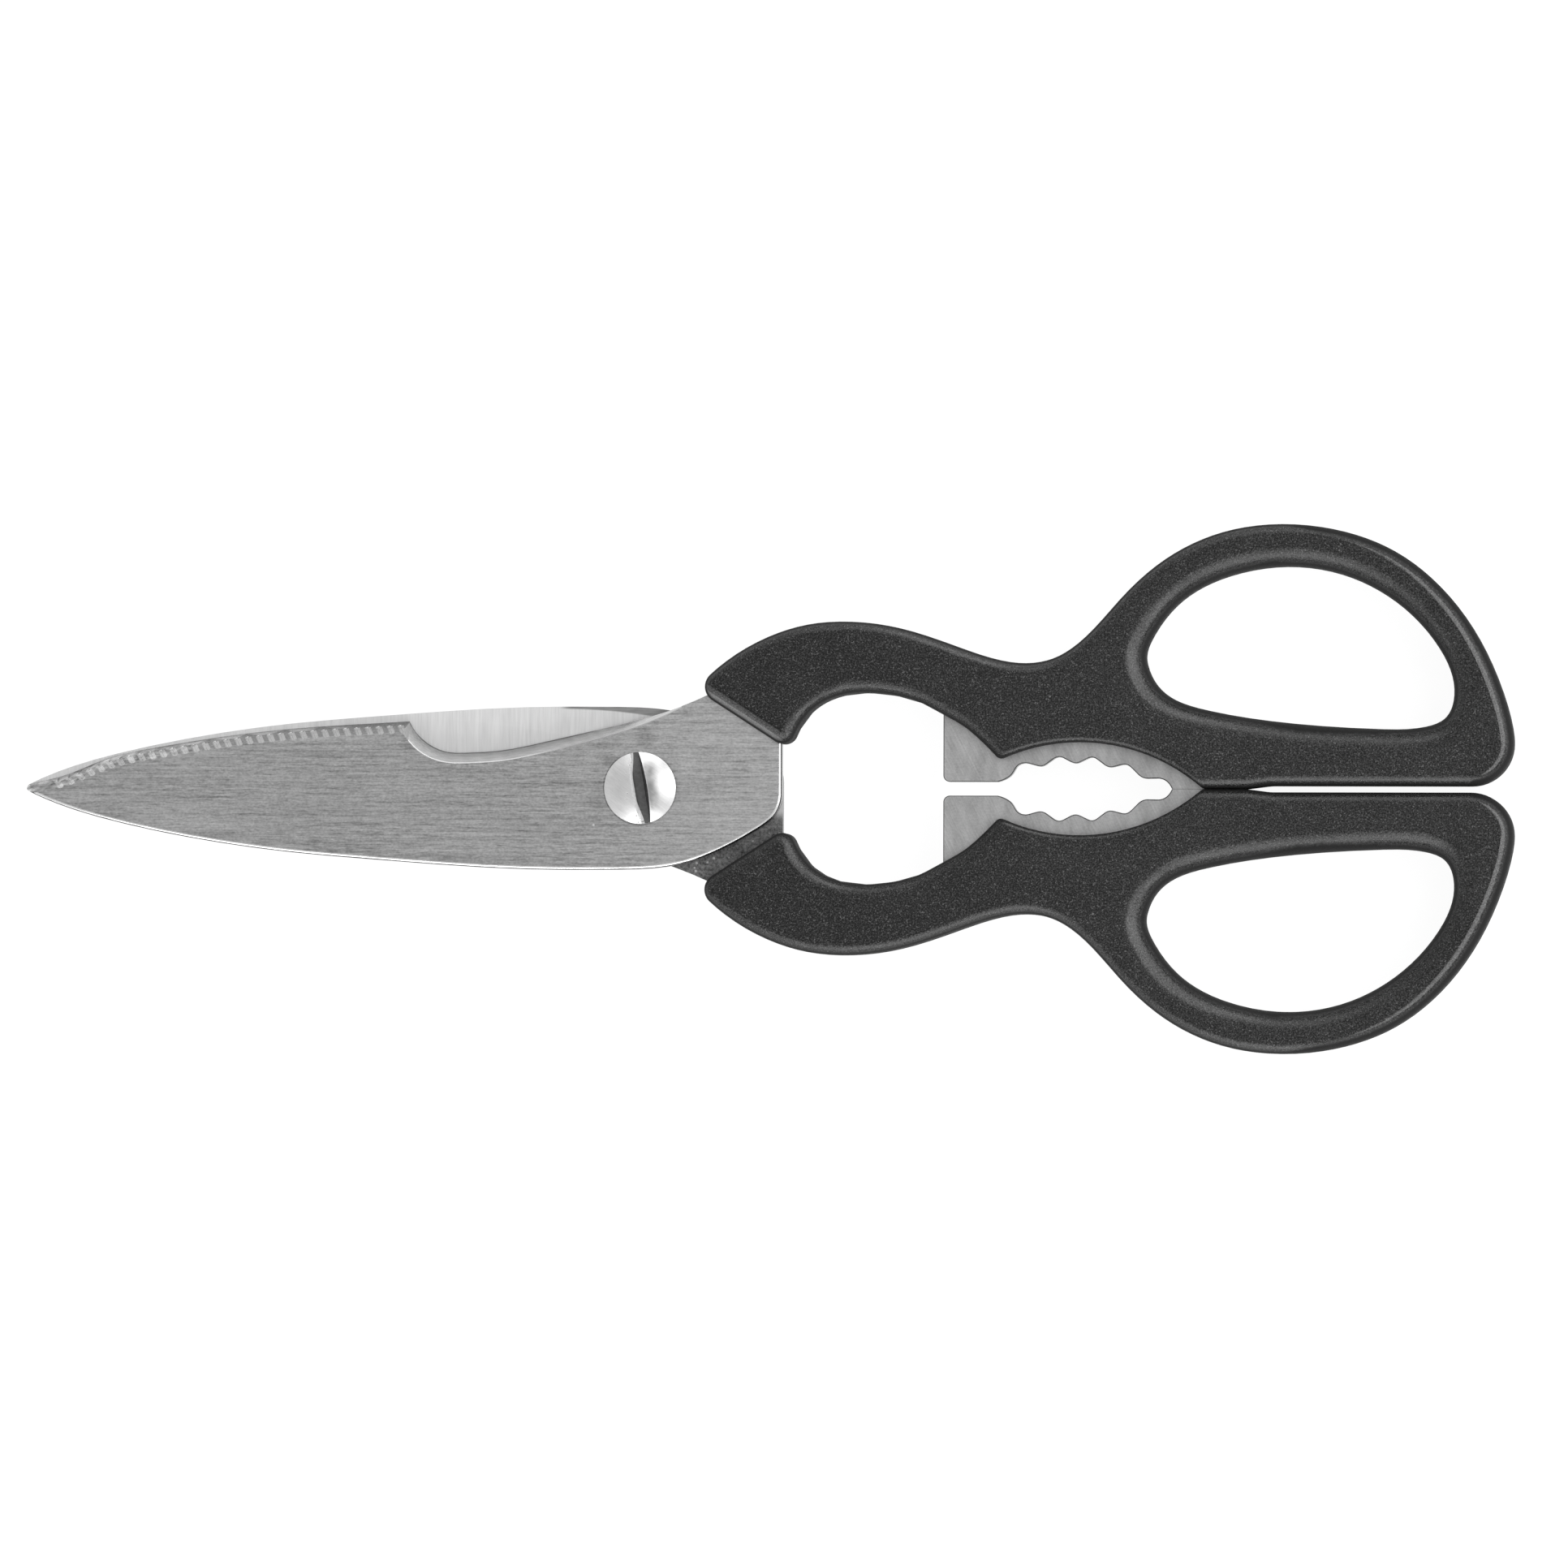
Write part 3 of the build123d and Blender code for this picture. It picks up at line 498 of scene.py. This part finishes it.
for name, node in frame["nodes"].items():
    kind = name if name in FINISHES else ("handle" if name.endswith("handle") else "pivot")
    node.material_slots[0].link = "OBJECT"
    node.material_slots[0].material = FINISHES[kind]


# Studio
def studio_world():
    world = bpy.data.worlds.new("studio_world")
    bpy.context.scene.world = world
    recipe = Recipe(world)
    right, back, rise = recipe.split(recipe.coordinates("Generated"))
    round_about = ROUND_ABOUT + right * FROM_RIGHT + back * FROM_BACK
    strength = blend(recipe.step(rise, *OVERHEAD_RISE), round_about, OVERHEAD)
    strength = blend(recipe.step(rise, HORIZON_RISE, HORIZON_RISE + HORIZON_FADE), HORIZON, strength)
    glow = recipe.node("ShaderNodeBackground", inputs={"Color": (1, 1, 1, 1), "Strength": strength})
    recipe.node("ShaderNodeOutputWorld", inputs={"Surface": glow})


def soft_lamp(name, place, size, brightness):
    data = bpy.data.lights.new(name, "AREA")
    data.shape = "RECTANGLE"
    data.size, data.size_y = size
    data.energy = brightness * pi * data.size * data.size_y
    lamp = bpy.data.objects.new(name, data)
    lamp.location = place
    lamp.rotation_euler = Vector(place).to_track_quat("Z", "Y").to_euler()
    lamp.visible_camera = False
    bpy.context.collection.objects.link(lamp)


def floor_paper():
    # White to the camera and in reflections, but for a faint shadow. It lights the shears as paper does
    made, recipe = material("floor_paper")
    rays = recipe.node("ShaderNodeLightPath").socket.node.outputs
    seen = recipe.math("MAXIMUM", Wire(recipe, rays["Is Camera Ray"]), Wire(recipe, rays["Is Glossy Ray"]))
    seen = recipe.math("MAXIMUM", seen, Wire(recipe, rays["Is Transmission Ray"]))
    paper = recipe.node("ShaderNodeBsdfDiffuse", inputs={"Color": (FLOOR_WHITE,) * 3 + (1,)})
    shade = recipe.node("ShaderNodeBsdfDiffuse", inputs={"Color": (FLOOR_SHADE,) * 3 + (1,)})
    glow = recipe.node("ShaderNodeEmission", inputs={"Color": (1, 1, 1, 1), "Strength": FLOOR_GLOW})
    white = recipe.node("ShaderNodeAddShader", inputs={0: shade, 1: glow})
    surface = recipe.node("ShaderNodeMixShader", inputs={0: seen, 1: paper, 2: white})
    recipe.node("ShaderNodeOutputMaterial", inputs={"Surface": surface})
    return made


def studio_floor():
    made = floor_paper()
    sheet = bmesh.new()
    bmesh.ops.create_grid(sheet, x_segments=1, y_segments=1, size=FLOOR_SIZE / 2)
    bmesh.ops.translate(sheet, vec=(0, 0, -FLOOR_DROP), verts=sheet.verts)
    mesh = bpy.data.meshes.new("studio_floor")
    sheet.to_mesh(mesh)
    sheet.free()
    mesh.materials.append(made)
    floor = bpy.data.objects.new("studio_floor", mesh)
    bpy.context.collection.objects.link(floor)


def photograph_camera():
    data = bpy.data.cameras.new("photograph_camera")
    data.sensor_width = SENSOR_WIDTH
    data.lens = SENSOR_WIDTH * VIEW_DISTANCE / VIEW_WIDTH
    camera = bpy.data.objects.new("photograph_camera", data)
    bpy.context.collection.objects.link(camera)
    lean = [tan(radians(angle)) for angle in VIEW_LEAN]
    upwards = Vector((*lean, 1)).normalized()
    turn = Vector((0, 0, 1)).rotation_difference(upwards) @ Quaternion((0, 0, 1), radians(VIEW_ROLL))
    aim = Vector((*VIEW_CENTRE, PIVOT.z))
    camera.matrix_world = Matrix.LocRotScale(aim + upwards * VIEW_DISTANCE, turn, None)
    bpy.context.scene.camera = camera


studio_world()
for lamp in LAMPS:
    soft_lamp(*lamp)
studio_floor()
photograph_camera()
bpy.context.scene.view_settings.view_transform = "Standard"
